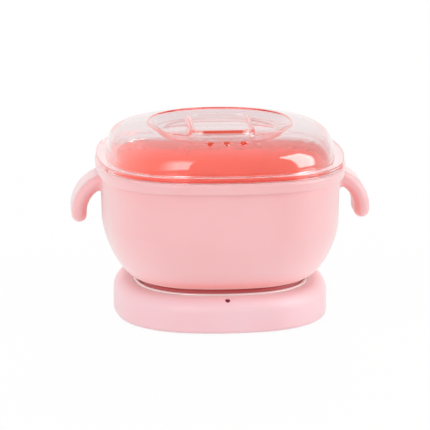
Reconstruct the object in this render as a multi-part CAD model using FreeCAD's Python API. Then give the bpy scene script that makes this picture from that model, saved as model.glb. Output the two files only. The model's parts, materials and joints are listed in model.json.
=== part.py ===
import FreeCAD, Part
import math
import os

from FreeCAD import Vector

# Wax heater: a silicone pot with two ears stands on a squarish heating base, under a clear lid.
# Millimetres, +Z up. The origin is on the table under the middle, the front is -Y, the ears lie along X.

# Plan outline shared by base, pot and lid: bowed sides that run into round corners
side_radius_ratio = 1.894      # radius of a bowed side for a half width of one
side_arc_angle = 11.57         # degrees from the middle of a side to its corner arc

# Base housing
base_half = 60.6
base_top = 20.5                # top of the housing above the table
base_wall = 2.2
shoulder_radius = 7.6
base_edge_radius = 2.0
foot_proud = 1.0               # the rubber feet lift the housing this far
rear_flat_inset = 2.4          # flat on the rear wall for the inlet and the button

# Bottom cover, its screws and feet
cover_thick = 2.2
cover_gap = 0.2
cover_boss_diameter = 6.4
cover_screw_diameter = 2.4
cover_screw_length = 8.0
cover_screw_head_diameter = 5.2
cover_screw_head_height = 1.1
foot_diameter = 10.0
foot_sink = 1.0
foot_fit = 0.1                 # all round a foot in its recess
foot_reach = 46.0              # from the middle to a foot, along the diagonal
vent_slot_count = 7
vent_slot_width = 2.0
vent_slot_length = 18.0
vent_slot_pitch = 5.0

# Trim ring and heating plate in the top opening
ring_half = 49.9
ring_width = 2.0
ring_proud = 0.8
ring_edge_radius = 0.7
ring_gap = 0.2
collar_wall = 2.0
ledge_width = 5.0
ledge_thick = 2.0
plate_drop = 2.1               # top of the plate below the top of the housing
plate_thick = 3.0
plate_gap = 0.3
gasket_thick = 0.8

# Heater stack under the plate
heater_thick = 1.6
heater_gap = 1.0
clamp_thick = 1.0
clamp_gap = 0.8
clamp_reach = 38.0             # from the middle to a clamp screw, along the diagonal
clamp_boss_diameter = 6.4
clamp_screw_diameter = 2.9
clamp_screw_head_diameter = 5.6
clamp_screw_head_height = 2.0
plate_skin = 1.0               # metal left above a clamp screw
screw_gap = 0.05               # all round a screw in its bore
hole_gap = 0.4                 # all round a boss, a blade or a screw that passes through a sheet

# Thermostat, its strap and the thermal fuse
thermostat_diameter = 16.0
thermostat_height = 6.0
blade_thick = 0.8
blade_width = 4.8
blade_length = 3.8
strap_width = 7.0
strap_thick = 0.8
strap_foot = 7.0
strap_screw_diameter = 2.4
strap_screw_head_diameter = 4.4
strap_screw_head_height = 1.4
fuse_diameter = 4.0
fuse_length = 12.0
fuse_lead_diameter = 1.0
fuse_lead_length = 6.0
fuse_x = -15.0
fuse_front_y = 12.0
clip_thick = 0.6
clip_width = 5.0
clip_gap = 0.15

# Control board
board_half_width = 22.0
board_rear_y = -32.0
board_thick = 1.6
board_post_height = 1.4
board_post_diameter = 4.6
board_edge_gap = 0.4
board_screw_diameter = 1.8
board_screw_length = 3.6
board_screw_head_diameter = 3.4
board_screw_head_height = 1.2
board_screw_x = 18.5
board_screw_front_y = -52.0
board_screw_rear_y = -43.5
terminal_count = 7
terminal_pitch = 5.6
terminal_depth = 6.5
terminal_height = 4.4
capacitor_length = 13.0
capacitor_width = 5.0
capacitor_height = 4.4
capacitor_x = -6.0
capacitor_y = -46.0
resistor_diameter = 2.4
resistor_length = 6.5
resistor_x = 9.0
resistor_y = -43.0
resistor_pitch = 5.0

# Indicator at the front edge
led_inset = 4.0                # centre of the light behind the widest line of the base
led_diameter = 3.0
led_height = 4.3
pipe_diameter = 2.8
pipe_gap = 0.1
pipe_sink = 0.4                # the light pipe ends this far under the surface
pipe_led_gap = 0.3

# Mains inlet
inlet_x = -14.0
inlet_width = 17.2
inlet_height = 9.8
inlet_wall = 0.8
inlet_depth = 12.6
inlet_back = 1.6
inlet_flange = 1.4             # flange past the shroud, on each side and in thickness
inlet_gap = 0.1
inlet_notch_gap = 0.3
pin_diameter = 2.4
pin_spacing = 8.6
pin_recess = 1.6
pin_tail = 4.0
pin_gap = 0.05

# Power switch and its button
button_x = 16.0
button_diameter = 7.6
button_proud = 2.0
button_travel = 1.6
button_flange_diameter = 9.2
button_flange_thick = 1.5
button_gap = 0.2
button_stop_gap = 0.1
button_edge_radius = 0.6
switch_width = 8.0
switch_depth = 8.4
switch_height = 6.4
switch_clearance = 0.4         # between the pressed button and the switch
switch_tail = 3.0
switch_tail_spacing = 4.0
plunger_diameter = 4.0
plunger_gap = 0.05
plunger_engagement = 3.4
spring_length = 3.4
spring_wire = 0.5
spring_turns = 3
spring_gap = 0.2

# Inner leads
lead_diameter = 1.6
lead_bend_share = 0.45         # part of a straight run that a bend may take
lead_lane_x = 20.0             # the long leads pass the heater this far from the middle

# Silicone pot
pot_height = 70.0
pot_wall = 3.2
pot_floor = 2.6
foot_gap = 1.1                 # pot foot to trim ring
foot_height = 5.6
foot_edge_radius = 1.0
pot_under_half = 49.4          # outline where the belly turns under
belly_half = 67.0
belly_height = 36.0            # top of the rounded belly above the plate
belly_side_power = 1.2
belly_under_power = 1.4
bowl_steps = 9
wall_top_half = 67.9
band_height = 6.0
band_low_half = 70.2
rim_half = 71.0
rim_square = 1.4               # wall, rim and lid are squarer than the underside and the base
rim_radius = 1.3
band_edge_radius = 0.8
floor_radius = 2.0
floor_flare = 0.6

# Ears of the pot
ear_gap = 8.1                  # finger room between the wall and an ear
ear_hub_inset = 6.1            # middle of the bend inside the top of the wall
ear_top_drop = 5.2             # from the rim down to the highest point of an ear
ear_thick = 8.6
ear_width = 25.0
ear_tip_length = 6.2           # straight run under the bend
ear_tip_corner = 6.0
ear_edge_flat = 0.4            # flat left between the round edges of an ear
ear_root_angle = 84.0          # degrees of bend, enough to end inside the wall
ear_root_radius = 2.0

# Clear lid
brim_inset = 1.0
brim_thick = 3.4
brim_radius = 0.3
brim_seat_gap = 0.1            # air under the brim, all round the rim it lies on
lid_height = 21.0              # from the rim of the pot to the lip
lid_wall = 1.8
skirt_depth = 4.0
skirt_gap = 0.5
crest_half = 41.2
crest_square = 0.5             # the crest is part way from a circle to the plan outline
dome_power = 0.55
dome_turn = 55.0               # the dome still rises where it meets the lip
dome_steps = 10
lip_width = 0.8                # flat top of the lip between dome and recess
lip_radius = 0.3
recess_depth = 5.0
recess_draft = 7.0             # the recess narrows this much from its lip to its floor
recess_floor_radius = 7.0
grip_width = 37.0
grip_depth = 50.0
grip_corner_radius = 8.0
grip_sink = 0.2                # top of the grip below the lip
grip_edge_radius = 1.5
hole_diameter = 3.4
hole_pitch = 9.1
hole_count = 3
hole_reach = 50.8

# Levels and half widths that follow from the sizes above
cover_top = foot_proud + cover_thick
opening_half = ring_half + ring_gap
collar_half = opening_half + collar_wall
ring_inner_half = ring_half - ring_width
ledge_half = opening_half - ledge_width
plate_half = ring_inner_half - plate_gap
plate_top = base_top - plate_drop
plate_bottom = plate_top - plate_thick
ledge_top = plate_bottom - gasket_thick
ledge_bottom = ledge_top - ledge_thick
heater_bottom = plate_bottom - heater_thick
heater_half = ledge_half - heater_gap
clamp_bottom = ledge_bottom - clamp_thick
clamp_half = opening_half - clamp_gap
rear_y = base_half - rear_flat_inset
rear_inner_y = rear_y - base_wall
axis_z = cover_top + inlet_gap + inlet_height / 2
inlet_inner_y = rear_y - inlet_depth
pin_tail_y = inlet_inner_y - pin_tail
flange_y = rear_inner_y - button_stop_gap - button_flange_thick
switch_face_y = flange_y - button_travel - switch_clearance
switch_rear_y = switch_face_y - switch_depth
plunger_end_y = switch_face_y - plunger_engagement
board_bottom = cover_top + board_post_height
board_top = board_bottom + board_thick
terminal_width = terminal_count * terminal_pitch
led_y = led_inset - base_half
rim_z = plate_top + pot_height
band_z = rim_z - band_height
ear_reach = wall_top_half + ear_gap + ear_thick
ear_edge_radius = (ear_thick - ear_edge_flat) / 2
ear_hub_x = wall_top_half - ear_hub_inset
bend_z = rim_z - ear_top_drop - (ear_reach - ear_hub_x)
belly_z = plate_top + belly_height
under_z = plate_top + foot_height
foot_half = ring_inner_half - foot_gap
skirt_half = wall_top_half - pot_wall - skirt_gap
brim_half = rim_half - brim_inset
brim_top = rim_z + brim_thick
crest_z = rim_z + lid_height
recess_z = crest_z - recess_depth
strap_top = plate_bottom - thermostat_height
thermostat_blade_x = terminal_pitch
tab_x = 2 * terminal_pitch
tab_y = -24.0
rear_tab_y = fuse_front_y + fuse_length + fuse_lead_length


def outline(half, z, square=1.0):
    # closed wire of four bowed sides and four corner arcs; square 0 gives a circle
    shift = (side_radius_ratio - 1) * square
    angle = math.radians(side_arc_angle)
    step = shift / (math.cos(angle) - math.sin(angle))
    corner = step * math.sin(angle)
    side_radius = half * (1 + shift)
    corner_radius = half * (1 + shift - step)

    def point(centre_x, centre_y, radius, turn, quarter):
        x = half * centre_x + radius * math.cos(turn)
        y = half * centre_y + radius * math.sin(turn)
        for _ in range(quarter):
            x, y = -y, x
        return Vector(x, y, z)

    edges = []
    for quarter in range(4):
        side = [point(-shift, 0, side_radius, turn, quarter) for turn in (-angle, 0, angle)]
        turns = (angle, math.pi / 4, math.pi / 2 - angle)
        bend = [point(corner, corner, corner_radius, turn, quarter) for turn in turns]
        edges.append(Part.Arc(*side).toShape())
        edges.append(Part.Arc(*bend).toShape())
    return Part.Wire(edges)


def diagonal_reach(half):
    # distance from the middle to the outline along the diagonal
    shift = side_radius_ratio - 1
    angle = math.radians(side_arc_angle)
    step = shift / (math.cos(angle) - math.sin(angle))
    return half * (step * math.sin(angle) * math.sqrt(2) + 1 + shift - step)


def prism(half, low, high, square=1.0):
    return Part.Face(outline(half, low, square)).extrude(Vector(0, 0, high - low))


def loft(sections, ruled=False):
    return Part.makeLoft([outline(*section) for section in sections], True, ruled)


def block(x_range, y_range, z_range):
    size = [high - low for low, high in (x_range, y_range, z_range)]
    return Part.makeBox(*size, Vector(x_range[0], y_range[0], z_range[0]))


def post(diameter, low, high, x=0.0, y=0.0):
    return Part.makeCylinder(diameter / 2, high - low, Vector(x, y, low))


def rod(diameter, front, rear, x, z):
    return Part.makeCylinder(diameter / 2, rear - front, Vector(x, front, z), Vector(0, 1, 0))


def centred(middle, width):
    return (middle - width / 2, middle + width / 2)


def diagonals(reach):
    offset = reach / math.sqrt(2)
    return [(x * offset, y * offset) for x, y in ((1, 1), (-1, 1), (-1, -1), (1, -1))]


def level_edges(shape, z):
    found = []
    for edge in shape.Edges:
        box = edge.BoundBox
        if abs(box.ZMin - z) < 0.01 and abs(box.ZMax - z) < 0.01:
            found.append(edge)
    return found


def round_level(shape, z, radius):
    return shape.makeFillet(radius, level_edges(shape, z))


def cut(shape, tools):
    return shape.cut(Part.makeCompound(tools))


def join(shapes):
    return shapes[0].multiFuse(shapes[1:]).removeSplitter()


def screw(x, y, seat, tip, diameter, head_diameter, head_height):
    # head under the seat when the tip is above it, over the seat when the tip is below
    shank = post(diameter, min(seat, tip), max(seat, tip), x, y)
    outward = -head_height if tip > seat else head_height
    head = post(head_diameter, min(seat, seat + outward), max(seat, seat + outward), x, y)
    return join([shank, head])


def housing_form(inset):
    # outer form of the housing, drawn in by an inset
    form = prism(base_half - inset, foot_proud, base_top - inset)
    return round_level(form, base_top - inset, shoulder_radius - inset)


def behind(y):
    return block(centred(0, 4 * base_half), (y, 2 * base_half), (-base_top, 2 * base_top))


def cover_screw_places():
    inner = diagonal_reach(base_half - base_wall)
    return diagonals((inner + diagonal_reach(collar_half)) / 2)


def stadium(width, height, front, rear, x, z):
    # slot-shaped bar along Y
    reach = (width - height) / 2
    ends = [rod(height, front, rear, x + side * reach, z) for side in (-1, 1)]
    middle = block(centred(x, 2 * reach), (front, rear), centred(z, height))
    return join([middle] + ends)


def base_housing():
    outer = round_level(housing_form(0), foot_proud, base_edge_radius).cut(behind(rear_y))
    hollow = housing_form(base_wall).cut(behind(rear_inner_y))
    collar = prism(collar_half, ledge_bottom, base_top - base_wall / 2)
    shell = outer.cut(hollow)
    bosses = [post(cover_boss_diameter, cover_top, base_top, x, y).common(outer)
              for x, y in cover_screw_places()]
    body = join([shell, collar] + bosses)
    screw_tip = cover_top + cover_screw_length
    bore = cover_screw_diameter + 2 * screw_gap
    holes = [post(bore, cover_top, screw_tip, x, y) for x, y in cover_screw_places()]
    notch_top = axis_z + inlet_height / 2 + inlet_notch_gap
    notch_width = inlet_width + 2 * (inlet_flange + inlet_notch_gap)
    notch = block(centred(inlet_x, notch_width), (0, rear_inner_y), (ledge_bottom, notch_top))
    gap = 2 * inlet_gap
    holes += [
        prism(opening_half, ledge_top, base_top + ring_proud),
        prism(ledge_half, ledge_bottom, base_top),
        stadium(inlet_width + gap, inlet_height + gap, 0, base_half, inlet_x, axis_z),
        rod(button_diameter + 2 * button_gap, rear_inner_y, base_half, button_x, axis_z),
        post(pipe_diameter + 2 * pipe_gap, base_top - shoulder_radius, base_top, 0, led_y),
        notch.common(prism(collar_half, ledge_bottom, notch_top)),
    ]
    return cut(body, holes)


def cover_plate():
    half = base_half - base_wall - cover_gap
    plate = prism(half, foot_proud, cover_top).cut(behind(rear_inner_y - cover_gap))
    posts = [post(board_post_diameter, cover_top, board_bottom, x, y) for x, y in board_screw_places()]
    switch_low = axis_z - switch_height / 2
    pedestal = block(centred(button_x, switch_width), (switch_rear_y, switch_face_y), (cover_top, switch_low))
    rib_top = axis_z - pin_diameter
    rib_y = (inlet_inner_y - inlet_back, inlet_inner_y)
    rib = block(centred(inlet_x, pin_spacing), rib_y, (cover_top, rib_top))
    return join([plate, pedestal, rib] + posts)


def base_cover():
    cuts = []
    for x, y in diagonals(foot_reach):
        cuts.append(post(foot_diameter + 2 * foot_fit, foot_proud, foot_proud + foot_sink, x, y))
    for x, y in cover_screw_places():
        cuts.append(post(cover_screw_diameter + 2 * hole_gap, 0, cover_top, x, y))
        head_top = foot_proud + cover_screw_head_height
        cuts.append(post(cover_screw_head_diameter + 2 * hole_gap, 0, head_top, x, y))
    for x, y in board_screw_places():
        bore = board_screw_diameter + 2 * screw_gap
        cuts.append(post(bore, board_top - board_screw_length, board_top, x, y))
    for index in range(vent_slot_count):
        x = (index - (vent_slot_count - 1) / 2) * vent_slot_pitch
        cuts.append(block(centred(x, vent_slot_width), centred(0, vent_slot_length), (0, cover_top)))
    return cut(cover_plate(), cuts)


def rubber_foot(x, y):
    return post(foot_diameter, 0, foot_proud + foot_sink, x, y)


def cover_screw(x, y):
    seat = foot_proud + cover_screw_head_height
    tip = cover_top + cover_screw_length
    return screw(x, y, seat, tip, cover_screw_diameter, cover_screw_head_diameter, cover_screw_head_height)


def trim_ring():
    ring = prism(ring_half, plate_bottom, base_top + ring_proud)
    ring = ring.cut(prism(ring_inner_half, plate_bottom, base_top + ring_proud))
    return round_level(ring, base_top + ring_proud, ring_edge_radius)


def plate_gasket():
    return prism(ring_half, ledge_top, plate_bottom).cut(prism(ledge_half, ledge_top, plate_bottom))


def heating_plate():
    plate = prism(plate_half, plate_bottom, plate_top)
    bosses = [post(clamp_boss_diameter, ledge_bottom, plate_bottom, x, y) for x, y in diagonals(clamp_reach)]
    bores = [post(clamp_screw_diameter + 2 * screw_gap, ledge_bottom, plate_top - plate_skin, x, y)
             for x, y in diagonals(clamp_reach)]
    return cut(join([plate] + bosses), bores)


def heater_holes(low, high):
    gap = 2 * hole_gap
    holes = [post(clamp_boss_diameter + gap, low, high, x, y) for x, y in diagonals(clamp_reach)]
    holes.append(post(thermostat_diameter + gap, low, high))
    return holes


def tab_slots(low, high):
    gap = 2 * hole_gap
    slots = []
    for x, y in tab_places():
        slots.append(block(centred(x, blade_width + gap), centred(y, blade_thick + gap), (low, high)))
    return slots


def tab_places():
    return [(-tab_x, tab_y), (fuse_x, rear_tab_y)]


def heater_sheet():
    return cut(prism(heater_half, heater_bottom, plate_bottom), heater_holes(heater_bottom, plate_bottom))


def heater_tab(x, y):
    return block(centred(x, blade_width), centred(y, blade_thick), (axis_z - lead_diameter, heater_bottom))


def insulation_pad():
    holes = heater_holes(ledge_bottom, heater_bottom) + tab_slots(ledge_bottom, heater_bottom)
    return cut(prism(heater_half, ledge_bottom, heater_bottom), holes)


def clamp_plate():
    holes = tab_slots(clamp_bottom, ledge_bottom)
    holes.append(post(thermostat_diameter + 2 * hole_gap, clamp_bottom, ledge_bottom))
    for x, y in diagonals(clamp_reach):
        holes.append(post(clamp_screw_diameter + 2 * hole_gap, clamp_bottom, ledge_bottom, x, y))
    for y in strap_screw_places():
        holes.append(post(strap_screw_diameter + 2 * screw_gap, clamp_bottom, ledge_bottom, 0, y))
    notch_width = inlet_width + 2 * (inlet_flange + inlet_notch_gap)
    notch_y = (inlet_inner_y - inlet_notch_gap, base_half)
    holes.append(block(centred(inlet_x, notch_width), notch_y, (clamp_bottom, ledge_bottom)))
    return cut(prism(clamp_half, clamp_bottom, ledge_bottom), holes)


def clamp_screw(x, y):
    tip = plate_top - plate_skin
    return screw(x, y, clamp_bottom, tip, clamp_screw_diameter,
                 clamp_screw_head_diameter, clamp_screw_head_height)


def thermostat():
    body = post(thermostat_diameter, strap_top, plate_bottom)
    blades = []
    for side in (-1, 1):
        x_range = centred(side * thermostat_blade_x, blade_thick)
        blades.append(block(x_range, centred(0, blade_width), (strap_top - blade_length, strap_top)))
    return join([body] + blades)


def strap_screw_places():
    reach = thermostat_diameter / 2 + hole_gap + strap_thick + strap_foot / 2
    return [-reach, reach]


def thermostat_strap():
    inner = thermostat_diameter / 2 + hole_gap
    outer = inner + strap_thick
    pieces = [block(centred(0, strap_width), (-outer, outer), (strap_top - strap_thick, strap_top))]
    for side in (-1, 1):
        leg = sorted((side * inner, side * outer))
        foot = sorted((side * inner, side * (outer + strap_foot)))
        pieces.append(block(centred(0, strap_width), leg, (strap_top - strap_thick, clamp_bottom)))
        pieces.append(block(centred(0, strap_width), foot, (clamp_bottom - strap_thick, clamp_bottom)))
    holes = [post(strap_screw_diameter + 2 * hole_gap, 0, clamp_bottom, 0, y) for y in strap_screw_places()]
    return cut(join(pieces), holes)


def strap_screw(y):
    return screw(0, y, clamp_bottom - strap_thick, ledge_bottom, strap_screw_diameter,
                 strap_screw_head_diameter, strap_screw_head_height)


def thermal_fuse():
    rear = fuse_front_y + fuse_length
    body = rod(fuse_diameter, fuse_front_y, rear, fuse_x, axis_z)
    front_lead = rod(fuse_lead_diameter, fuse_front_y - fuse_lead_length, fuse_front_y, fuse_x, axis_z)
    rear_lead = rod(fuse_lead_diameter, rear, rear_tab_y - blade_thick / 2, fuse_x, axis_z)
    return join([body, front_lead, rear_lead])


def fuse_clip():
    inner = fuse_diameter / 2 + clip_gap
    outer = inner + clip_thick
    y_range = centred(fuse_front_y + fuse_length / 2, clip_width)
    bend = [rod(2 * radius, *y_range, fuse_x, axis_z) for radius in (outer, inner)]
    legs = [block(centred(fuse_x, 2 * radius), y_range, (axis_z, clamp_bottom)) for radius in (outer, inner)]
    return join([bend[0], legs[0]]).cut(join([bend[1], legs[1]]))


def board_screw_places():
    return [(side * board_screw_x, y) for side in (-1, 1) for y in (board_screw_front_y, board_screw_rear_y)]


def control_board():
    form = prism(base_half - base_wall - board_edge_gap, board_bottom, board_top)
    area = block(centred(0, 2 * board_half_width), (-base_half, board_rear_y), (board_bottom, board_top))
    holes = [post(board_screw_diameter + 2 * hole_gap, board_bottom, board_top, x, y)
             for x, y in board_screw_places()]
    return cut(form.common(area), holes)


def board_screw(x, y):
    return screw(x, y, board_top, board_top - board_screw_length, board_screw_diameter,
                 board_screw_head_diameter, board_screw_head_height)


def terminal_block():
    y_range = (board_rear_y - terminal_depth, board_rear_y)
    body = block(centred(0, terminal_width), y_range, (board_top, board_top + terminal_height))
    wells = []
    for index in range(terminal_count):
        x = (index - (terminal_count - 1) / 2) * terminal_pitch
        well_y = sum(y_range) / 2
        wells.append(post(terminal_pitch / 2, axis_z + lead_diameter, board_top + terminal_height, x, well_y))
    return cut(body, wells)


def board_capacitor():
    z_range = (board_top, board_top + capacitor_height)
    return block(centred(capacitor_x, capacitor_length), centred(capacitor_y, capacitor_width), z_range)


def board_resistor(index):
    z = board_top + resistor_diameter / 2
    front = resistor_y - index * resistor_pitch
    start = Vector(resistor_x - resistor_length / 2, front, z)
    return Part.makeCylinder(resistor_diameter / 2, resistor_length, start, Vector(1, 0, 0))


def indicator_led():
    radius = led_diameter / 2
    top = board_top + led_height - radius
    dome = Part.makeSphere(radius, Vector(0, led_y, top))
    return join([post(led_diameter, board_top, top, 0, led_y), dome])


def light_pipe():
    low = board_top + led_height + pipe_led_gap
    return post(pipe_diameter, low, base_top, 0, led_y).common(housing_form(pipe_sink))


def mains_inlet():
    shroud = stadium(inlet_width, inlet_height, inlet_inner_y, rear_y, inlet_x, axis_z)
    flange_range = (rear_inner_y - inlet_flange, rear_inner_y)
    flange_width = inlet_width + 2 * inlet_flange
    flange = block(centred(inlet_x, flange_width), flange_range, centred(axis_z, inlet_height))
    flange = flange.common(housing_form(base_wall + inlet_gap))
    socket_size = [size - 2 * inlet_wall for size in (inlet_width, inlet_height)]
    socket = stadium(*socket_size, inlet_inner_y + inlet_back, rear_y, inlet_x, axis_z)
    bores = [rod(pin_diameter + 2 * pin_gap, inlet_inner_y, rear_y, x, axis_z) for x in pin_places()]
    return cut(join([shroud, flange]), [socket] + bores)


def pin_places():
    return [inlet_x + side * pin_spacing / 2 for side in (-1, 1)]


def inlet_pin(x):
    pin = rod(pin_diameter, pin_tail_y, rear_y - pin_recess, x, axis_z)
    tip = [edge for edge in pin.Edges if abs(edge.BoundBox.YMin - (rear_y - pin_recess)) < 0.01]
    return pin.makeFillet(pin_diameter / 4, tip)


def power_switch():
    y_range = (switch_rear_y, switch_face_y)
    body = block(centred(button_x, switch_width), y_range, centred(axis_z, switch_height))
    tails = []
    for x in switch_tail_places():
        tail_y = (switch_rear_y - switch_tail, switch_rear_y)
        tails.append(block(centred(x, lead_diameter), tail_y, centred(axis_z, blade_thick)))
    bore_end = plunger_end_y - spring_length
    bore = rod(plunger_diameter + 2 * plunger_gap, bore_end, switch_face_y, button_x, axis_z)
    return join([body] + tails).cut(bore)


def switch_tail_places():
    return [button_x + side * switch_tail_spacing / 2 for side in (-1, 1)]


def switch_spring():
    # hidden return spring, one tube on a helix along Y
    radius = plunger_diameter / 2 - spring_gap - spring_wire / 2
    rise = spring_length - spring_wire - 2 * plunger_gap
    helix = Part.makeHelix(rise / spring_turns, rise, radius)
    section = Part.Wire(Part.Circle(Vector(radius, 0, 0), Vector(0, 1, 0), spring_wire / 2).toShape())
    coil = Part.Wire(helix).makePipeShell([section], True, True)
    coil.rotate(Vector(0, 0, 0), Vector(1, 0, 0), -90)
    start = plunger_end_y - spring_length + spring_wire / 2 + plunger_gap
    coil.translate(Vector(button_x, start, axis_z))
    return coil


def power_button():
    cap = rod(button_diameter, flange_y, rear_y + button_proud, button_x, axis_z)
    rim = [edge for edge in cap.Edges if abs(edge.BoundBox.YMin - (rear_y + button_proud)) < 0.01]
    cap = cap.makeFillet(button_edge_radius, rim)
    flange = rod(button_flange_diameter, flange_y, flange_y + button_flange_thick, button_x, axis_z)
    return join([cap, flange])


def switch_plunger():
    return rod(plunger_diameter, plunger_end_y, flange_y, button_x, axis_z)


def lead(points):
    # round lead of straight runs joined by arcs as large as the runs allow
    corners = [Vector(x, y, axis_z) for x, y in points]
    edges = []
    start = corners[0]
    for before, corner, after in zip(corners, corners[1:], corners[2:]):
        back = before - corner
        ahead = after - corner
        half_turn = (math.pi - back.getAngle(ahead)) / 2
        trim = lead_bend_share * min(back.Length, ahead.Length)
        radius = trim / math.tan(half_turn)
        back.normalize()
        ahead.normalize()
        inward = (back + ahead).normalize()
        middle = corner + inward * (radius / math.cos(half_turn) - radius)
        arc_start = corner + back * trim
        arc_end = corner + ahead * trim
        edges.append(Part.LineSegment(start, arc_start).toShape())
        edges.append(Part.Arc(arc_start, middle, arc_end).toShape())
        print("lead bend radius", round(radius, 1))
        start = arc_end
    edges.append(Part.LineSegment(start, corners[-1]).toShape())
    direction = corners[1] - corners[0]
    section = Part.Wire(Part.Circle(corners[0], direction, lead_diameter / 2).toShape())
    return Part.Wire(edges).makePipeShell([section], True, False)


def inner_leads():
    outer_terminal = (terminal_count - 1) / 2 * terminal_pitch
    pins = pin_places()
    tails = switch_tail_places()
    tail_y = switch_rear_y - switch_tail
    turn_y = rear_tab_y
    blade_face = thermostat_blade_x + blade_thick / 2
    return {
        "neutral_lead": [(pins[0], pin_tail_y), (-lead_lane_x, pin_tail_y / 2),
                         (-lead_lane_x, board_rear_y / 2), (-outer_terminal, board_rear_y)],
        "live_lead": [(pins[1], pin_tail_y), (pins[1], turn_y), (tails[0], turn_y), (tails[0], tail_y)],
        "switched_lead": [(tails[1], tail_y), (lead_lane_x, pin_tail_y / 2),
                          (lead_lane_x, board_rear_y / 2), (outer_terminal, board_rear_y)],
        "thermostat_lead": [(thermostat_blade_x, board_rear_y), (thermostat_blade_x, -blade_width / 2)],
        "fuse_lead": [(-blade_face, 0), (fuse_x, 0), (fuse_x, fuse_front_y - fuse_lead_length)],
        "heater_lead": [(-tab_x, board_rear_y), (-tab_x, tab_y - blade_thick / 2)],
    }


def bowl_form(inset):
    # rounded belly that runs into the straight wall, drawn in by an inset
    low_half = pot_under_half - inset
    high_half = belly_half - inset
    low_z = under_z + inset
    sections = []
    for index in range(bowl_steps):
        turn = math.pi / 2 * (1 - index / bowl_steps)
        half = low_half + (high_half - low_half) * max(math.cos(turn), 0.0) ** belly_side_power
        z = belly_z - (belly_z - low_z) * math.sin(turn) ** belly_under_power
        sections.append((half, z, 1 + (rim_square - 1) * index / bowl_steps))
    for index in range(bowl_steps + 1):
        share = index / bowl_steps
        half = high_half + (wall_top_half - belly_half) * share
        sections.append((half, belly_z + (rim_z - belly_z) * share, rim_square))
    return loft(sections)


def ear(side):
    # flat tongue with round edges that hangs from a bend and starts inside the wall
    tip_z = bend_z - ear_tip_length
    tongue = block((ear_reach - ear_thick, ear_reach), centred(0, ear_width), (tip_z, bend_z))
    corners = [edge for edge in level_edges(tongue, tip_z) if edge.BoundBox.XLength > ear_thick / 2]
    tongue = tongue.makeFillet(ear_tip_corner, corners)
    rims = [edge for edge in tongue.Edges if edge.BoundBox.XLength < ear_thick / 2
            and edge.BoundBox.ZMin < bend_z - ear_edge_radius / 2]
    tongue = tongue.makeFillet(ear_edge_radius, rims)
    section = [face for face in tongue.Faces if face.BoundBox.ZMin > bend_z - ear_edge_radius / 2]
    hub = Vector(ear_hub_x, 0, bend_z)
    bend = section[0].revolve(hub, Vector(0, -1, 0), ear_root_angle)
    shape = join([bend, tongue])
    if side < 0:
        shape = shape.mirror(Vector(0, 0, 0), Vector(1, 0, 0))
    return shape


def root_edges(shape):
    # edges where the ears leave the wall
    found = []
    for edge in shape.Edges:
        box = edge.BoundBox
        reach = sorted((abs(box.XMin), abs(box.XMax)))
        at_wall = wall_top_half - ear_thick / 2 < reach[0] and reach[1] < wall_top_half + ear_root_radius / 2
        if at_wall and bend_z < box.ZMin and box.ZMax < rim_z - rim_radius and box.YLength < ear_width:
            found.append(edge)
    return found


def silicone_pot():
    bowl = join([bowl_form(0), ear(1), ear(-1)])
    bowl = bowl.makeFillet(ear_root_radius, root_edges(bowl))
    band = loft([(band_low_half, band_z, rim_square), (rim_half, rim_z, rim_square)], True)
    band = round_level(band, band_z, band_edge_radius)
    band = round_level(band, rim_z, rim_radius)
    foot = round_level(prism(foot_half, plate_top, under_z), plate_top, foot_edge_radius)
    well_half = foot_half - pot_wall
    well_z = plate_top + pot_floor
    well = loft([(well_half, well_z), (well_half + floor_flare, under_z + pot_wall)], True)
    inside = join([bowl_form(pot_wall), round_level(well, well_z, floor_radius)])
    return join([bowl, band, foot]).cut(inside)


def dome_form(inset):
    # skirt and dome of the lid, square at the brim and rounder at the crest, drawn in by an inset
    foot = skirt_half - inset
    rise = crest_z - inset - brim_top
    sections = [(foot, rim_z - skirt_depth * share, rim_square) for share in (1, 0.5, 0)]
    last = math.radians(dome_turn)
    for index in range(dome_steps + 1):
        turn = last * index / dome_steps
        drawn_in = (1 - math.cos(turn) ** dome_power) / (1 - math.cos(last) ** dome_power)
        risen = (math.sin(turn) / math.sin(last)) ** dome_power
        square = rim_square - (rim_square - crest_square) * index / dome_steps
        sections.append((foot - (foot - crest_half) * drawn_in, brim_top + rise * risen, square))
    return loft(sections)


def recess_form(grow):
    # tapered finger recess in the top of the lid, grown by a wall
    slope = math.atan2(recess_draft, recess_depth)
    top_half = crest_half - lip_width + grow / math.cos(slope)
    low_half = top_half - recess_draft - grow * math.tan(slope)
    form = loft([(low_half, recess_z - grow, crest_square), (top_half, crest_z, crest_square)], True)
    return round_level(form, recess_z - grow, recess_floor_radius + grow)


def grip_form(inset, low, high):
    # pinch grip that stands in the recess, with round corners
    half_x = grip_width / 2 - inset
    half_y = grip_depth / 2 - inset
    radius = grip_corner_radius - inset
    grown = block((-half_x, half_x), (-half_y, half_y), (low, high))
    uprights = [edge for edge in grown.Edges if edge.BoundBox.ZLength > (high - low) / 2]
    return round_level(grown.makeFillet(radius, uprights), high, grip_edge_radius)


def clear_lid():
    brim_low = rim_z + brim_seat_gap
    brim = prism(brim_half, brim_low, brim_top, rim_square)
    brim = round_level(round_level(brim, brim_top, brim_radius), brim_low, brim_radius)
    dome = round_level(dome_form(0).cut(recess_form(0)), crest_z, lip_radius)
    grip_top = crest_z - grip_sink
    outside = join([dome, brim, grip_form(0, recess_z - lid_wall / 2, grip_top)])
    hollow = dome_form(lid_wall).cut(recess_form(lid_wall))
    grip_hollow = grip_form(lid_wall, recess_z - 2 * lid_wall, grip_top - lid_wall)
    holes = []
    for index in range(hole_count):
        x = (index - (hole_count - 1) / 2) * hole_pitch
        holes.append(post(hole_diameter, brim_top, crest_z, x, -hole_reach))
    return cut(outside, [hollow, grip_hollow] + holes)


def numbered(name, make, places):
    return {f"{name}_{index}": make(*place) for index, place in enumerate(places, 1)}


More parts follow.
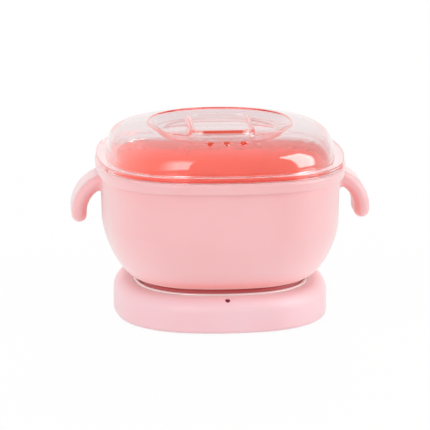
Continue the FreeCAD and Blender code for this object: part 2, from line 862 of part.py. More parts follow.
def all_pieces():
    pieces = {
        "base_housing": base_housing(),
        "base_cover": base_cover(),
        "trim_ring": trim_ring(),
        "plate_gasket": plate_gasket(),
        "heating_plate": heating_plate(),
        "heater_sheet": heater_sheet(),
        "insulation_pad": insulation_pad(),
        "clamp_plate": clamp_plate(),
        "thermostat": thermostat(),
        "thermostat_strap": thermostat_strap(),
        "thermal_fuse": thermal_fuse(),
        "fuse_clip": fuse_clip(),
        "control_board": control_board(),
        "terminal_block": terminal_block(),
        "board_capacitor": board_capacitor(),
        "indicator_led": indicator_led(),
        "light_pipe": light_pipe(),
        "mains_inlet": mains_inlet(),
        "power_switch": power_switch(),
        "switch_spring": switch_spring(),
        "power_button": power_button(),
        "switch_plunger": switch_plunger(),
        "silicone_pot": silicone_pot(),
        "clear_lid": clear_lid(),
    }
    pieces.update(numbered("rubber_foot", rubber_foot, diagonals(foot_reach)))
    pieces.update(numbered("cover_screw", cover_screw, cover_screw_places()))
    pieces.update(numbered("clamp_screw", clamp_screw, diagonals(clamp_reach)))
    pieces.update(numbered("board_screw", board_screw, board_screw_places()))
    pieces.update(numbered("heater_tab", heater_tab, tab_places()))
    pieces.update(numbered("strap_screw", strap_screw, [(y,) for y in strap_screw_places()]))
    pieces.update(numbered("board_resistor", board_resistor, [(0,), (1,)]))
    pieces.update(numbered("inlet_pin", inlet_pin, [(x,) for x in pin_places()]))
    for name, points in inner_leads().items():
        pieces[name] = lead(points)
    return pieces


os.makedirs("parts", exist_ok=True)
for name, shape in all_pieces().items():
    shape.exportStep(f"parts/{name}.step")
    print(name, shape.isValid(), len(shape.Solids), round(shape.Volume, 1))
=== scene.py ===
import json
import math

import bmesh
import bpy
from mathutils import Matrix, Vector


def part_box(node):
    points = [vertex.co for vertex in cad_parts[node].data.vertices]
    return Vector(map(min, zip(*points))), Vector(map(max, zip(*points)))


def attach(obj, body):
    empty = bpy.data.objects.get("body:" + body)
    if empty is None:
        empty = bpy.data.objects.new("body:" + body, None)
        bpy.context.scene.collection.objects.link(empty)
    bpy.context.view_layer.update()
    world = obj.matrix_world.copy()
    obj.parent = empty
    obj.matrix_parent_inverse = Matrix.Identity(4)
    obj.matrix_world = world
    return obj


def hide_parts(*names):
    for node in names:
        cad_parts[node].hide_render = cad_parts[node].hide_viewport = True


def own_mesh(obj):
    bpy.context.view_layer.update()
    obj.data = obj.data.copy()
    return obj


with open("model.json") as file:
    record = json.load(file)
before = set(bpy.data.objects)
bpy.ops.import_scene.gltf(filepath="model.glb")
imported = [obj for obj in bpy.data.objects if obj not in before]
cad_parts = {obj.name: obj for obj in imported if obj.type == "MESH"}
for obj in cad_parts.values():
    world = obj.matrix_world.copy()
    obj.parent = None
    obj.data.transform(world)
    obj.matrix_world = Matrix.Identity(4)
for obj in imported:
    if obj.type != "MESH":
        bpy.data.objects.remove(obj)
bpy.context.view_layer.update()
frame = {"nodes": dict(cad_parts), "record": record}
nodes = frame["nodes"]
scene = bpy.context.scene
print("frame loaded,", len(nodes), "nodes")


# colour and node helpers

plainWhite = (1.0, 1.0, 1.0, 1.0)


def tone(red, green, blue):  # 8-bit screen colour to scene colour, by the sRGB curve
    def linear(level):
        level = level / 255
        return level / 12.92 if level <= 0.04045 else ((level + 0.055) / 1.055) ** 2.4
    return (linear(red), linear(green), linear(blue), 1.0)


def feed(tree, socket, value):  # link another socket, or set a plain value
    if isinstance(value, bpy.types.NodeSocket):
        tree.links.new(value, socket)
    else:
        socket.default_value = value


def addNode(tree, kind, inputs=None, **settings):
    item = tree.nodes.new(kind)
    for name, value in settings.items():
        setattr(item, name, value)
    for name, value in (inputs or {}).items():
        feed(tree, item.inputs[name], value)
    return item


def mixTone(tree, factor, first, second):
    item = addNode(tree, "ShaderNodeMix", {0: factor, 6: first, 7: second}, data_type="RGBA")
    return item.outputs[2]


def ramp(tree, value, low, high, start=0.0, end=1.0):  # smooth step between two values
    item = addNode(tree, "ShaderNodeMapRange", {
        "Value": value, "From Min": low, "From Max": high, "To Min": start, "To Max": end,
    }, interpolation_type="SMOOTHSTEP")
    return item.outputs["Result"]


def calc(tree, operation, first, second=0.0):
    item = addNode(tree, "ShaderNodeMath", {0: first, 1: second}, operation=operation)
    return item.outputs[0]


def product(tree, first, *others):
    for value in others:
        first = calc(tree, "MULTIPLY", first, value)
    return first


def axes(tree, vector):
    return addNode(tree, "ShaderNodeSeparateXYZ", {0: vector}).outputs


def newMaterial(name):
    material = bpy.data.materials.new(name)
    material.use_nodes = True
    tree = material.node_tree
    return material, tree, tree.nodes["Principled BSDF"]


# patterns that the finishes share

patterns = {
    "grain": {"scale": 900.0, "drift": 30.0, "toothDetail": 3.0, "driftDetail": 2.0, "driftSpan": (0.3, 0.7)},
    "brushed": {"scale": 400.0, "stretch": (0.04, 1.0, 1.0), "detail": 4.0, "span": (0.35, 0.65)},
    "turned": {"scale": 500.0, "waver": 0.4, "detail": 1.0, "drift": 60.0},
    "flakes": {"scale": 300.0, "waver": 1.5, "detail": 5.0},
}


def newGroup(name, **inputs):  # Vector and plain numbers in, Height and Shade out
    group = bpy.data.node_groups.new(name, "ShaderNodeTree")
    group.interface.new_socket("Vector", in_out="INPUT", socket_type="NodeSocketVector")
    for title, value in inputs.items():
        socket = group.interface.new_socket(title, in_out="INPUT", socket_type="NodeSocketFloat")
        socket.default_value = value
    for title in ("Height", "Shade"):
        group.interface.new_socket(title, in_out="OUTPUT", socket_type="NodeSocketFloat")
    return group, group.nodes.new("NodeGroupInput"), group.nodes.new("NodeGroupOutput")


def useGroup(tree, group, vector, **inputs):
    item = tree.nodes.new("ShaderNodeGroup")
    item.node_tree = group
    tree.links.new(vector, item.inputs["Vector"])
    for name, value in inputs.items():
        feed(tree, item.inputs[name], value)
    return item.outputs


def makeMouldedGrain(look):  # fine tooth of a moulded skin and slow drift of its tone
    group, start, end = newGroup("mouldedGrain", Scale=look["scale"], Drift=look["drift"])
    tooth = addNode(group, "ShaderNodeTexNoise", {
        "Vector": start.outputs["Vector"], "Scale": start.outputs["Scale"], "Detail": look["toothDetail"]})
    drift = addNode(group, "ShaderNodeTexNoise", {
        "Vector": start.outputs["Vector"], "Scale": start.outputs["Drift"], "Detail": look["driftDetail"]})
    group.links.new(tooth.outputs[0], end.inputs["Height"])
    group.links.new(ramp(group, drift.outputs[0], *look["driftSpan"]), end.inputs["Shade"])
    return group


def makeBrushedLines(look):  # drawn or brushed metal, long along X
    group, start, end = newGroup("brushedLines", Scale=look["scale"])
    long = addNode(group, "ShaderNodeMapping", {"Vector": start.outputs["Vector"], "Scale": look["stretch"]})
    lines = addNode(group, "ShaderNodeTexNoise", {
        "Vector": long.outputs[0], "Scale": start.outputs["Scale"], "Detail": look["detail"]})
    group.links.new(lines.outputs[0], end.inputs["Height"])
    group.links.new(ramp(group, lines.outputs[0], *look["span"]), end.inputs["Shade"])
    return group


def makeTurnedRings(look):  # lathe rings round the Z axis
    group, start, end = newGroup("turnedRings", Scale=look["scale"])
    rings = addNode(group, "ShaderNodeTexWave", {
        "Vector": start.outputs["Vector"], "Scale": start.outputs["Scale"],
        "Distortion": look["waver"], "Detail": look["detail"],
    }, wave_type="RINGS", rings_direction="Z")
    drift = addNode(group, "ShaderNodeTexNoise", {"Vector": start.outputs["Vector"], "Scale": look["drift"]})
    group.links.new(rings.outputs["Fac"], end.inputs["Height"])
    group.links.new(drift.outputs[0], end.inputs["Shade"])
    return group


def makeSheetFlakes(look):  # flakes or fibres of a sheet
    group, start, end = newGroup("sheetFlakes", Scale=look["scale"])
    flakes = addNode(group, "ShaderNodeTexVoronoi", {
        "Vector": start.outputs["Vector"], "Scale": start.outputs["Scale"]})
    fibres = addNode(group, "ShaderNodeTexNoise", {
        "Vector": start.outputs["Vector"], "Scale": start.outputs["Scale"],
        "Detail": look["detail"], "Distortion": look["waver"]})
    group.links.new(fibres.outputs[0], end.inputs["Height"])
    group.links.new(flakes.outputs["Distance"], end.inputs["Shade"])
    return group


groups = {
    "grain": makeMouldedGrain(patterns["grain"]),
    "brushed": makeBrushedLines(patterns["brushed"]),
    "turned": makeTurnedRings(patterns["turned"]),
    "flakes": makeSheetFlakes(patterns["flakes"]),
}


# finishes of the plain pieces: two tones, roughness span, scale and depth of the pattern

finishes = {
    "base_plastic": {
        "tones": ((244, 198, 204), (244, 202, 208)), "rough": (0.46, 0.54), "scale": 1400, "depth": 0.05,
        "sheen": 0.8},
    "ring_plastic": {
        "tones": ((254, 246, 245), (255, 249, 248)), "rough": (0.12, 0.18), "scale": 900, "depth": 0.02},
    "gasket_silicone": {
        "tones": ((186, 70, 66), (200, 84, 78)), "rough": (0.6, 0.7), "scale": 700, "depth": 0.1},
    "plate_aluminium": {
        "tones": ((196, 197, 199), (214, 215, 216)), "rough": (0.28, 0.4), "scale": 420, "depth": 0.15,
        "pattern": "turned", "metal": 1.0},
    "mica_sheet": {
        "tones": ((166, 146, 104), (206, 190, 150)), "rough": (0.35, 0.6), "scale": 260, "depth": 0.2,
        "pattern": "flakes"},
    "fibre_pad": {
        "tones": ((222, 220, 212), (240, 238, 230)), "rough": (0.9, 0.98), "scale": 700, "depth": 0.5,
        "pattern": "flakes"},
    "plated_steel": {
        "tones": ((168, 168, 170), (196, 196, 198)), "rough": (0.3, 0.42), "scale": 420, "depth": 0.1,
        "pattern": "brushed", "metal": 1.0},
    "screw_steel": {
        "tones": ((164, 165, 168), (194, 194, 196)), "rough": (0.28, 0.4), "scale": 600, "depth": 0.06,
        "metal": 1.0},
    "thermostat_case": {
        "tones": ((24, 24, 26), (34, 34, 37)), "rough": (0.32, 0.42), "scale": 700, "depth": 0.06},
    "fuse_case": {
        "tones": ((186, 180, 170), (206, 200, 190)), "rough": (0.3, 0.4), "scale": 500, "depth": 0.08,
        "pattern": "brushed", "metal": 1.0},
    "plated_brass": {
        "tones": ((200, 188, 158), (220, 210, 184)), "rough": (0.2, 0.3), "scale": 500, "depth": 0.06,
        "pattern": "brushed", "metal": 1.0},
    "board_laminate": {
        "tones": ((18, 82, 42), (30, 108, 56)), "rough": (0.3, 0.42), "scale": 220, "depth": 0.12,
        "pattern": "flakes"},
    "terminal_plastic": {
        "tones": ((210, 210, 202), (222, 222, 214)), "rough": (0.42, 0.5), "scale": 800, "depth": 0.06},
    "capacitor_case": {
        "tones": ((204, 160, 44), (214, 172, 58)), "rough": (0.3, 0.38), "scale": 600, "depth": 0.05},
    "resistor_coat": {
        "tones": ((128, 164, 192), (146, 180, 204)), "rough": (0.3, 0.4), "scale": 500, "depth": 0.06},
    "indicator_lens": {
        "tones": ((132, 40, 54), (150, 52, 66)), "rough": (0.18, 0.26), "scale": 900, "depth": 0.03},
    "inlet_plastic": {
        "tones": ((26, 26, 28), (34, 34, 36)), "rough": (0.48, 0.58), "scale": 1100, "depth": 0.1},
    "switch_plastic": {
        "tones": ((32, 32, 34), (42, 42, 44)), "rough": (0.42, 0.5), "scale": 900, "depth": 0.06},
    "spring_steel": {
        "tones": ((150, 150, 152), (176, 176, 178)), "rough": (0.24, 0.34), "scale": 700, "depth": 0.08,
        "pattern": "brushed", "metal": 1.0},
    "button_plastic": {
        "tones": ((243, 184, 189), (246, 192, 196)), "rough": (0.34, 0.42), "scale": 1200, "depth": 0.04},
    "plunger_plastic": {
        "tones": ((230, 230, 224), (238, 238, 233)), "rough": (0.38, 0.46), "scale": 900, "depth": 0.04},
    "foot_rubber": {
        "tones": ((216, 208, 208), (226, 219, 219)), "rough": (0.72, 0.82), "scale": 600, "depth": 0.2},
    "blue_lead": {
        "tones": ((36, 84, 176), (48, 98, 190)), "rough": (0.4, 0.5), "scale": 700, "depth": 0.05},
    "brown_lead": {
        "tones": ((102, 60, 36), (118, 72, 46)), "rough": (0.4, 0.5), "scale": 700, "depth": 0.05},
    "white_lead": {
        "tones": ((226, 224, 216), (238, 236, 230)), "rough": (0.55, 0.7), "scale": 900, "depth": 0.25,
        "pattern": "flakes"},
}
toothHeight = 0.0002  # of a moulded or brushed skin


def roughen(tree, shader, skin, look, height):  # roughness and bump from a pattern
    feed(tree, shader.inputs["Roughness"], ramp(tree, skin["Shade"], 0.0, 1.0, *look["rough"]))
    bump = addNode(tree, "ShaderNodeBump", {
        "Height": skin["Height"], "Strength": look["depth"], "Distance": height})
    feed(tree, shader.inputs["Normal"], bump.outputs[0])


def makeFinish(name, look):
    material, tree, shader = newMaterial(name)
    place = addNode(tree, "ShaderNodeTexCoord").outputs["Object"]
    skin = useGroup(tree, groups[look.get("pattern", "grain")], place, Scale=float(look["scale"]))
    first, second = (tone(*colour) for colour in look["tones"])
    feed(tree, shader.inputs["Base Color"], mixTone(tree, skin["Shade"], first, second))
    roughen(tree, shader, skin, look, toothHeight)
    shader.inputs["Metallic"].default_value = look.get("metal", 0.0)
    shader.inputs["Sheen Weight"].default_value = look.get("sheen", 0.0)
    return material


# soft pink silicone: pale outside; coral painted inside, where light comes through from the other side and
# bounces between the pink walls, with painted shade under the belly and at the foot

silicone = {
    "outside": (243, 179, 181),
    "outsideDrift": (244, 184, 186),
    "paintedLowShadeAndGlow": [  # painted shade and glow on the outside, on the way down: tone, height where it starts, height where it is full
        ((249, 166, 168), 0.0360, 0.0255),  # painted shade under the belly
        ((255, 108, 94), 0.0305, 0.0245),  # painted glow at the low edge of the belly, where light comes through the silicone
        ((196, 26, 34), 0.0240, 0.0234),  # painted shadow where belly and trim ring come close
        ((230, 108, 112), 0.0225, 0.0214),  # painted shade on the foot, in the gap of the trim ring
    ],
    # painted bounce light: coral inside, where light bounces between the pink walls, lighter coral near the
    # top
    "inside": (253, 108, 74),
    "paintedTopLight": (252, 138, 124),
    # painted shade: coral on the inner faces of the ears, which look at the pot
    "paintedEarShade": (250, 160, 158),
    "inward": (0.10, -0.30),  # outside tone to the painted inside coral, by how far a face looks outwards
    "floorHeight": (0.050, 0.044),
    "floorFacing": (0.2, 0.5),
    "topHeight": (0.074, 0.088),
    "earSide": (0.0685, 0.0700),
    "grain": 1100.0,
    "drift": 24.0,
    "depth": 0.05,
    "rough": (0.40, 0.48),
    "glow": 0.12,  # light that spreads under the skin
    "glowRadius": (1.0, 0.35, 0.3),
    "glowScale": 0.004,
    "sheen": 1.0,
    "sheenRough": 0.6,
}


def makeSilicone(look):
    material, tree, shader = newMaterial("pink_silicone")
    coord = addNode(tree, "ShaderNodeTexCoord").outputs
    place = axes(tree, coord["Object"])
    facing = axes(tree, coord["Normal"])
    level = addNode(tree, "ShaderNodeVectorMath", {0: coord["Object"], 1: (1, 1, 0)}, operation="MULTIPLY")
    away = addNode(tree, "ShaderNodeVectorMath", {0: level.outputs[0]}, operation="NORMALIZE")
    outward = addNode(tree, "ShaderNodeVectorMath", {
        0: away.outputs[0], 1: coord["Normal"]}, operation="DOT_PRODUCT").outputs["Value"]
    skin = useGroup(tree, groups["grain"], coord["Object"], Scale=look["grain"], Drift=look["drift"])
    inner = ramp(tree, outward, *look["inward"])  # faces that look at the middle of the pot get the painted coral bounce light
    # the floor of the pot gets the painted coral bounce light too
    floorBounceMask = product(tree, ramp(tree, place["Z"], *look["floorHeight"]),
                       ramp(tree, facing["Z"], *look["floorFacing"]))
    inner = calc(tree, "MAXIMUM", inner, floorBounceMask)
    # painted light: lighter coral near the top of the inside
    topLightMask = ramp(tree, place["Z"], *look["topHeight"])
    # painted shade on the inner faces of the ears
    earShadeMask = ramp(tree, calc(tree, "ABSOLUTE", place["X"]), *look["earSide"])
    paintedBounceTone = mixTone(tree, topLightMask, tone(*look["inside"]), tone(*look["paintedTopLight"]))
    paintedBounceTone = mixTone(tree, earShadeMask, paintedBounceTone, tone(*look["paintedEarShade"]))
    outsideTone = mixTone(tree, skin["Shade"], tone(*look["outside"]), tone(*look["outsideDrift"]))
    # painted shade and painted glow low on the outside: under the belly, at its low edge, by the trim ring
    # and on the foot
    for colour, start, full in look["paintedLowShadeAndGlow"]:
        outsideTone = mixTone(tree, ramp(tree, place["Z"], start, full), outsideTone, tone(*colour))
    feed(tree, shader.inputs["Base Color"], mixTone(tree, inner, outsideTone, paintedBounceTone))
    roughen(tree, shader, skin, look, toothHeight)
    shader.inputs["Subsurface Weight"].default_value = look["glow"]
    shader.inputs["Subsurface Radius"].default_value = look["glowRadius"]
    shader.inputs["Subsurface Scale"].default_value = look["glowScale"]
    shader.inputs["Sheen Weight"].default_value = look["sheen"]
    shader.inputs["Sheen Roughness"].default_value = look["sheenRough"]
    return material


# clear lid: polished plastic with a faint smoke of its own, with a painted coral glow where its edges gather
# the light of the pot

clear = {
    "tint": (242, 235, 236),
    # painted glow: coral on vent walls, grip edges and the foot of the brim
    "paintedCoralGlow": (214, 58, 30),
    "rough": (0.012, 0.035),
    "ior": 1.49,
    "waves": 180.0,
    "drift": 45.0,
    "depth": 0.006,
    "waveHeight": 0.0005,
    "trapped": (255, 176, 166),  # light that runs along inside the brim comes out in this tone
    "trappedDepth": 9,
    "ventPitch": 0.0091,
    "ventReach": 0.0508,
    "ventRadius": 0.0017,
    "ventEdge": 0.00015,
    "gripAlong": (0.0120, 0.0105),  # straight top edges of the grip, measured from its middle
    "gripInner": (0.0235, 0.02425),
    "gripOuter": (0.02575, 0.0253),
    "gripDrop": (0.0030, 0.0015),  # below the top of the lid
    "brimSeat": 0.0001,  # foot of the brim above the rim of the pot
    "brimBand": (0.0014, 0.0002),  # above that foot: where the painted coral glow starts, and where it is full
    "brimFacing": (0.95, 0.8),
    "brimShare": 0.75,
}


def nearVents(tree, place, look):  # painted coral glow: 1 on the walls of the row of three vent holes, 0 elsewhere
    side = calc(tree, "ABSOLUTE", place["X"])
    outer = calc(tree, "ABSOLUTE", calc(tree, "SUBTRACT", side, look["ventPitch"]))
    across = calc(tree, "MINIMUM", side, outer)
    along = calc(tree, "ADD", place["Y"], look["ventReach"])
    reach = calc(tree, "SQRT", calc(tree, "ADD", product(tree, across, across), product(tree, along, along)))
    return ramp(tree, reach, look["ventRadius"] + look["ventEdge"], look["ventRadius"])


def nearGripEdge(tree, place, look):  # painted coral glow: 1 on the front and rear top edges of the grip, 0 elsewhere
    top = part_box("clear_lid")[1].z
    start, full = look["gripDrop"]
    across = calc(tree, "ABSOLUTE", place["Y"])
    along = ramp(tree, calc(tree, "ABSOLUTE", place["X"]), *look["gripAlong"])
    inner = ramp(tree, across, *look["gripInner"])
    outer = ramp(tree, across, *look["gripOuter"])
    return product(tree, along, inner, outer, ramp(tree, place["Z"], top - start, top - full))


def nearBrimFoot(tree, place, facing, look):  # painted coral glow on the low part of the upright edge of the brim, not its flat faces
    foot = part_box("silicone_pot")[1].z + look["brimSeat"]
    start, full = look["brimBand"]
    low = ramp(tree, place["Z"], foot + start, foot + full, 0.0, look["brimShare"])
    below = ramp(tree, place["Z"], foot - full, foot)
    upright = ramp(tree, calc(tree, "ABSOLUTE", facing["Z"]), *look["brimFacing"])
    return product(tree, low, below, upright)


def makeClear(look):
    material, tree, shader = newMaterial("clear_plastic")
    coord = addNode(tree, "ShaderNodeTexCoord").outputs
    place = axes(tree, coord["Object"])
    facing = axes(tree, coord["Normal"])
    skin = useGroup(tree, groups["grain"], coord["Object"], Scale=look["waves"], Drift=look["drift"])
    # painted glow: coral where the edges gather light from the pot
    glowMask = calc(tree, "MAXIMUM", nearVents(tree, place, look), nearGripEdge(tree, place, look))
    glowMask = calc(tree, "MAXIMUM", glowMask, nearBrimFoot(tree, place, facing, look))
    paintedEdgeGlow = mixTone(tree, glowMask, tone(*look["tint"]), tone(*look["paintedCoralGlow"]))
    feed(tree, shader.inputs["Base Color"], paintedEdgeGlow)
    roughen(tree, shader, skin, look, look["waveHeight"])
    shader.inputs["IOR"].default_value = look["ior"]
    shader.inputs["Transmission Weight"].default_value = 1.0
    path = addNode(tree, "ShaderNodeLightPath").outputs
    through = addNode(tree, "ShaderNodeBsdfTransparent")  # lamps reach what is under the lid
    escape = addNode(tree, "ShaderNodeBsdfTransparent", {"Color": tone(*look["trapped"])})
    caught = calc(tree, "GREATER_THAN", path["Ray Depth"], look["trappedDepth"])
    freed = addNode(tree, "ShaderNodeMixShader", {0: caught, 1: shader.outputs[0], 2: escape.outputs[0]})
    both = addNode(tree, "ShaderNodeMixShader", {
        0: path["Is Shadow Ray"], 1: freed.outputs[0], 2: through.outputs[0]})
    tree.links.new(both.outputs[0], tree.nodes["Material Output"].inputs["Surface"])
    return material


materials = {name: makeFinish(name, look) for name, look in finishes.items()}
materials["pink_silicone"] = makeSilicone(silicone)
materials["clear_plastic"] = makeClear(clear)
for part in frame["record"]["subparts"]:
    nodes[part["node"]].material_slots[0].material = materials[part["material_slot"]]
print("finishes made,", len(materials))


# shapes turned round the Z axis from a profile of radius and height

creaseAngle = math.radians(32)


def newPiece(name, mesh):
    data = bpy.data.meshes.new(name)
    mesh.to_mesh(data)
    mesh.free()
    piece = bpy.data.objects.new(name, data)
    scene.collection.objects.link(piece)
    return piece


def lathe(name, profile, steps=48):
    mesh = bmesh.new()
    turns = [2 * math.pi * step / steps for step in range(steps)]
    rows = []
    for radius, height in profile:
        spots = [(radius * math.cos(turn), radius * math.sin(turn), height) for turn in turns]
        rows.append([mesh.verts.new(spot) for spot in (spots if radius else [(0, 0, height)])])
    for low, high in zip(rows, rows[1:]):
        for step in range(steps):
            after = (step + 1) % steps
            corners = [low[step % len(low)], low[after % len(low)],
                       high[after % len(high)], high[step % len(high)]]
            mesh.faces.new(list(dict.fromkeys(corners)))
    bmesh.ops.recalc_face_normals(mesh, faces=mesh.faces[:])
    return newPiece(name, mesh)


def bake(piece, material):  # evaluated result as a plain mesh, with soft faces and crisp edges
    bpy.context.view_layer.update()
    data = bpy.data.meshes.new_from_object(piece.evaluated_get(bpy.context.evaluated_depsgraph_get()))
    piece.modifiers.clear()
    piece.data = data
    data.materials.clear()
    data.materials.append(material)
    data.shade_smooth()
    data.set_sharp_from_angle(angle=creaseAngle)


def makeRingSet():  # copies of a shape on a ring, each turned by chance
    tree = bpy.data.node_groups.new("ringSet", "GeometryNodeTree")
    for title, kind, value in (("Geometry", "NodeSocketGeometry", None), ("Count", "NodeSocketInt", 4),
                               ("Reach", "NodeSocketFloat", 0.05), ("Start", "NodeSocketFloat", math.pi / 4),
                               ("Spin", "NodeSocketFloat", 0.0), ("Seed", "NodeSocketInt", 3),
                               ("Finish", "NodeSocketMaterial", None)):
        socket = tree.interface.new_socket(title, in_out="INPUT", socket_type=kind)
        if value is not None:
            socket.default_value = value
    tree.interface.new_socket("Geometry", in_out="OUTPUT", socket_type="NodeSocketGeometry")
    start = tree.nodes.new("NodeGroupInput").outputs
    end = tree.nodes.new("NodeGroupOutput")
    ring = addNode(tree, "GeometryNodeMeshCircle", {"Vertices": start["Count"], "Radius": start["Reach"]})
    lean = addNode(tree, "ShaderNodeCombineXYZ", {"Z": start["Start"]})
    turned = addNode(tree, "GeometryNodeTransform", {
        "Geometry": ring.outputs[0], "Rotation": lean.outputs[0]})
    chance = addNode(tree, "FunctionNodeRandomValue", {"Seed": start["Seed"]}, data_type="FLOAT")
    spin = addNode(tree, "ShaderNodeCombineXYZ", {"Z": product(tree, chance.outputs[1], start["Spin"])})
    copies = addNode(tree, "GeometryNodeInstanceOnPoints", {
        "Points": turned.outputs[0], "Instance": start["Geometry"], "Rotation": spin.outputs[0]})
    real = addNode(tree, "GeometryNodeRealizeInstances", {"Geometry": copies.outputs[0]})
    coated = addNode(tree, "GeometryNodeSetMaterial", {
        "Geometry": real.outputs[0], "Material": start["Finish"]})
    tree.links.new(coated.outputs[0], end.inputs[0])
    return tree


ringSet = makeRingSet()


def spread(piece, material, **inputs):  # run the ring tree on a shape and keep plain mesh
    modifier = piece.modifiers.new("ringSet", "NODES")
    modifier.node_group = ringSet
    inputs["Finish"] = material
    for item in ringSet.interface.items_tree:
        if item.item_type == "SOCKET" and item.in_out == "INPUT" and item.name in inputs:
            modifier[item.identifier] = inputs[item.name]
    bake(piece, material)


def middle(node):
    low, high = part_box(node)
    return (low + high) / 2


def numbered(look):  # names of the CAD nodes of a piece that repeats
    return [look["node"] + str(index + 1) for index in range(look["count"])]


# rubber feet with a dished sole

feet = {"node": "rubber_foot_", "count": 4, "dish": 0.0003, "sole": 0.0012, "edge": 0.0005,
        "edgeBreak": 0.00015}


def makeFeet(look):
    names = numbered(look)
    low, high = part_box(names[0])
    radius = (high.x - low.x) / 2
    dish = look["dish"]
    edge = look["edge"]
    inner = radius - edge - look["sole"]
    profile = [(0, dish), (inner - dish, dish), (inner, 0), (radius - edge, 0),
               (radius - look["edgeBreak"], look["edgeBreak"]), (radius, edge), (radius, high.z), (0, high.z)]
    piece = lathe("rubberFeet", profile)
    spread(piece, materials["foot_rubber"], Count=look["count"], Reach=middle(names[0]).xy.length)
    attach(piece, "base")
    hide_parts(*names)


# cover screws with a cross recess

screws = {"node": "cover_screw_", "count": 4, "slotLength": 0.0030, "slotWidth": 0.0007, "slotDepth": 0.0008,
          "flatShare": 0.6, "crown": 0.0002, "crownRise": 0.00008, "crownDrop": 0.0004, "headHeight": 0.0011,
          "shankRadius": 0.0012, "tipLength": 0.0024, "tipRadius": 0.00036}


def makeSlot(length, width, depth, height):  # block that cuts one bar of the recess
    mesh = bmesh.new()
    bmesh.ops.create_cube(mesh, size=1.0)
    bmesh.ops.scale(mesh, vec=(length, width, 2 * depth), verts=mesh.verts[:])
    bmesh.ops.translate(mesh, vec=(0, 0, height), verts=mesh.verts[:])
    return newPiece("slot", mesh)


def makeScrews(look):
    names = numbered(look)
    low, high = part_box(names[0])
    spot = middle(names[0])
    radius = (high.x - low.x) / 2
    seat = low.z + look["headHeight"]
    shank = look["shankRadius"]
    profile = [(0, low.z), (look["flatShare"] * radius, low.z),
               (radius - look["crown"], low.z + look["crownRise"]), (radius, low.z + look["crownDrop"]),
               (radius, seat), (shank, seat), (shank, high.z - look["tipLength"]),
               (look["tipRadius"], high.z), (0, high.z)]
    piece = lathe("coverScrews", profile)
    long, wide = look["slotLength"], look["slotWidth"]
    cutters = [makeSlot(*sides, look["slotDepth"], low.z) for sides in ((long, wide), (wide, long))]
    for cutter in cutters:
        modifier = piece.modifiers.new("slot", "BOOLEAN")
        modifier.operation = "DIFFERENCE"
        modifier.object = cutter
    bake(piece, materials["screw_steel"])
    for cutter in cutters:
        bpy.data.objects.remove(cutter)
    spread(piece, materials["screw_steel"], Count=look["count"], Reach=spot.xy.length,
           Start=math.atan2(spot.y, spot.x), Spin=2 * math.pi)
    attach(piece, "base")
    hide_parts(*names)


# button cap with a dished end

button = {
    "node": "power_button", "flange": 0.0015, "capRadius": 0.0038, "edge": 0.0006, "edgeSteps": 4,
    "dish": 0.00035,
    "dishCurve": ((0.75, 0.12), (0.5, 0.6), (0.25, 0.9), (0, 1)),  # shares of cap radius and dish
}


def makeButton(look):
    low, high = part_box(look["node"])
    spot = middle(look["node"])
    flange = (high.x - low.x) / 2
    cap = look["capRadius"]
    length = high.y - low.y
    edge = look["edge"]
    turns = [math.pi / 2 * step / look["edgeSteps"] for step in range(look["edgeSteps"] + 1)]
    profile = [(0, 0), (flange, 0), (flange, look["flange"]), (cap, look["flange"])]
    profile += [(cap - edge + edge * math.cos(turn), length - edge + edge * math.sin(turn)) for turn in turns]
    profile += [(reach * cap, length - sunk * look["dish"]) for reach, sunk in look["dishCurve"]]
    piece = lathe("buttonCap", profile)
    place = Matrix.Translation((spot.x, low.y, spot.z)) @ Matrix.Rotation(math.radians(-90), 4, "X")
    piece.data.transform(place)
    bake(piece, materials["button_plastic"])
    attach(piece, "button")
    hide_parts(look["node"])


# return spring of the switch; the plunger pushes it together, but here it is one welded mesh that only rides
# on the base

spring = {"node": "switch_spring", "joint": "power_button_press", "pressed": 0.52, "weld": 1e-6}


def makeSpring(look):
    mesh = bmesh.new()
    mesh.from_mesh(nodes[look["node"]].data)
    bmesh.ops.remove_doubles(mesh, verts=mesh.verts[:], dist=look["weld"])
    piece = newPiece("returnSpring", mesh)
    bake(piece, materials["spring_steel"])
    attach(piece, "base")
    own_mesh(piece)
    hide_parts(look["node"])


makeFeet(feet)
makeScrews(screws)
makeButton(button)
makeSpring(spring)
print("feet, screws, button and spring made")


# studio: white surround, soft boxes at the sides and behind, panels that only show as reflections, pale floor

studio = {
    "worldLight": 0.70,
    "aim": (0.0, 0.0, 0.06),
    "boxes": [
        {"name": "leftBox", "place": (-1.7, -0.7, 0.7), "size": (0.9, 0.9), "power": 9.0, "card": False},
        {"name": "rightBox", "place": (1.7, -0.7, 0.7), "size": (0.9, 0.9), "power": 9.0, "card": False},
        {"name": "backBox", "place": (0.3, 2.0, 0.9), "size": (1.2, 0.9), "power": 12.0, "card": False},
        {"name": "leftCard", "place": (-0.69, -1.12, 1.21), "size": (1.05, 2.38), "power": 36.0,
         "card": True, "aim": (0.12, -0.54, 1.21), "fade": ((0.0, 0.8), (0.8, 0.3))},
        {"name": "rightCard", "place": (1.085, -0.29, 0.59), "size": (0.77, 1.47), "power": 24.0,
         "card": True, "aim": (0.0, 0.1, 0.0)},
    ],
    "floorHalf": 6.0,
    "floorWhite": 0.95,
    "floorTones": ((250, 250, 250), (252, 252, 252)),
    "floorRough": 0.8,
    "floorGrain": 300.0,
    "floorDrift": 3.0,
    "bounces": 32,  # light that runs along inside the clear lid comes out again
    "clearBounces": 24,
}


def seenDirectly(tree):  # camera, mirror and clear rays see plain white
    path = addNode(tree, "ShaderNodeLightPath").outputs
    seen = calc(tree, "MAXIMUM", path["Is Camera Ray"], path["Is Glossy Ray"])
    return calc(tree, "MAXIMUM", seen, path["Is Transmission Ray"])


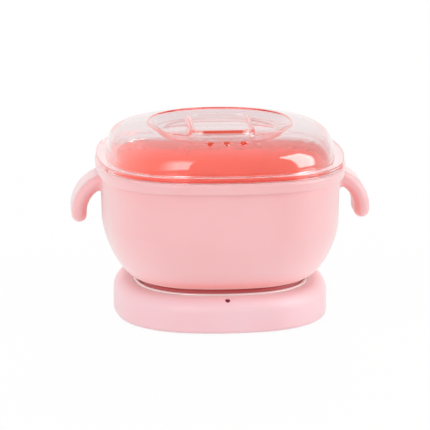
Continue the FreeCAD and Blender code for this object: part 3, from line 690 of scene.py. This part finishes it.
def makeWorld(look):
    world = bpy.data.worlds.new("studio")
    world.use_nodes = True
    scene.world = world
    tree = world.node_tree
    lit = tree.nodes["Background"]
    lit.inputs["Color"].default_value = plainWhite
    lit.inputs["Strength"].default_value = look["worldLight"]
    white = addNode(tree, "ShaderNodeBackground", {"Color": plainWhite, "Strength": 1.0})
    both = addNode(tree, "ShaderNodeMixShader", {
        0: seenDirectly(tree), 1: lit.outputs[0], 2: white.outputs[0]})
    tree.links.new(both.outputs[0], tree.nodes["World Output"].inputs["Surface"])


def fadePanel(lamp, across, up):  # the panel dims towards its far side and its top
    lamp.use_nodes = True
    tree = lamp.node_tree
    side = axes(tree, addNode(tree, "ShaderNodeNewGeometry").outputs["Parametric"])
    dim = product(tree, ramp(tree, side["X"], *across), ramp(tree, side["Y"], *up))
    feed(tree, tree.nodes["Emission"].inputs["Strength"], dim)


def turnTo(thing, aim):  # lamps and cameras look along their own -Z
    thing.rotation_euler = (Vector(aim) - thing.location).to_track_quat("-Z", "Y").to_euler()


def makeBoxes(look):
    for box in look["boxes"]:
        data = bpy.data.lights.new(box["name"], "AREA")
        data.shape = "RECTANGLE"
        data.size, data.size_y = box["size"]
        data.energy = box["power"]
        lamp = bpy.data.objects.new(box["name"], data)
        lamp.location = box["place"]
        lamp.visible_glossy = box["card"]
        lamp.visible_transmission = box["card"]
        lamp.visible_diffuse = not box["card"]
        turnTo(lamp, box.get("aim", look["aim"]))
        scene.collection.objects.link(lamp)
        if "fade" in box:
            fadePanel(data, *box["fade"])


def makeFloor(look):
    half = look["floorHalf"]
    corners = [(-half, -half, 0), (half, -half, 0), (half, half, 0), (-half, half, 0)]
    data = bpy.data.meshes.new("floor")
    data.from_pydata(corners, [], [(0, 1, 2, 3)])
    floor = bpy.data.objects.new("floor", data)
    scene.collection.objects.link(floor)
    material, tree, shader = newMaterial("paleFloor")
    place = addNode(tree, "ShaderNodeTexCoord").outputs["Object"]
    skin = useGroup(tree, groups["grain"], place, Scale=look["floorGrain"], Drift=look["floorDrift"])
    first, second = (tone(*colour) for colour in look["floorTones"])
    feed(tree, shader.inputs["Base Color"], mixTone(tree, skin["Shade"], first, second))
    shader.inputs["Roughness"].default_value = look["floorRough"]
    white = addNode(tree, "ShaderNodeEmission", {"Color": plainWhite, "Strength": 1.0})
    share = product(tree, seenDirectly(tree), look["floorWhite"])
    both = addNode(tree, "ShaderNodeMixShader", {0: share, 1: shader.outputs[0], 2: white.outputs[0]})
    tree.links.new(both.outputs[0], tree.nodes["Material Output"].inputs["Surface"])
    data.materials.append(material)


# camera at the photograph's height and side, far off with a long lens

shot = {"place": (-0.1569, -1.9938, 0.526), "aim": (-0.0027, 0.0, 0.055), "lens": 302.2, "sensor": 36.0,
        "farthest": 50.0}


def makeCamera(look):
    data = bpy.data.cameras.new("camera")
    data.lens = look["lens"]
    data.sensor_width = look["sensor"]
    data.clip_end = look["farthest"]
    camera = bpy.data.objects.new("camera", data)
    camera.location = look["place"]
    turnTo(camera, look["aim"])
    scene.collection.objects.link(camera)
    scene.camera = camera


makeWorld(studio)
makeBoxes(studio)
makeFloor(studio)
makeCamera(shot)
scene.view_settings.view_transform = "Standard"
scene.cycles.max_bounces = studio["bounces"]
scene.cycles.glossy_bounces = studio["clearBounces"]
scene.cycles.transmission_bounces = studio["clearBounces"]
print("studio and camera set")
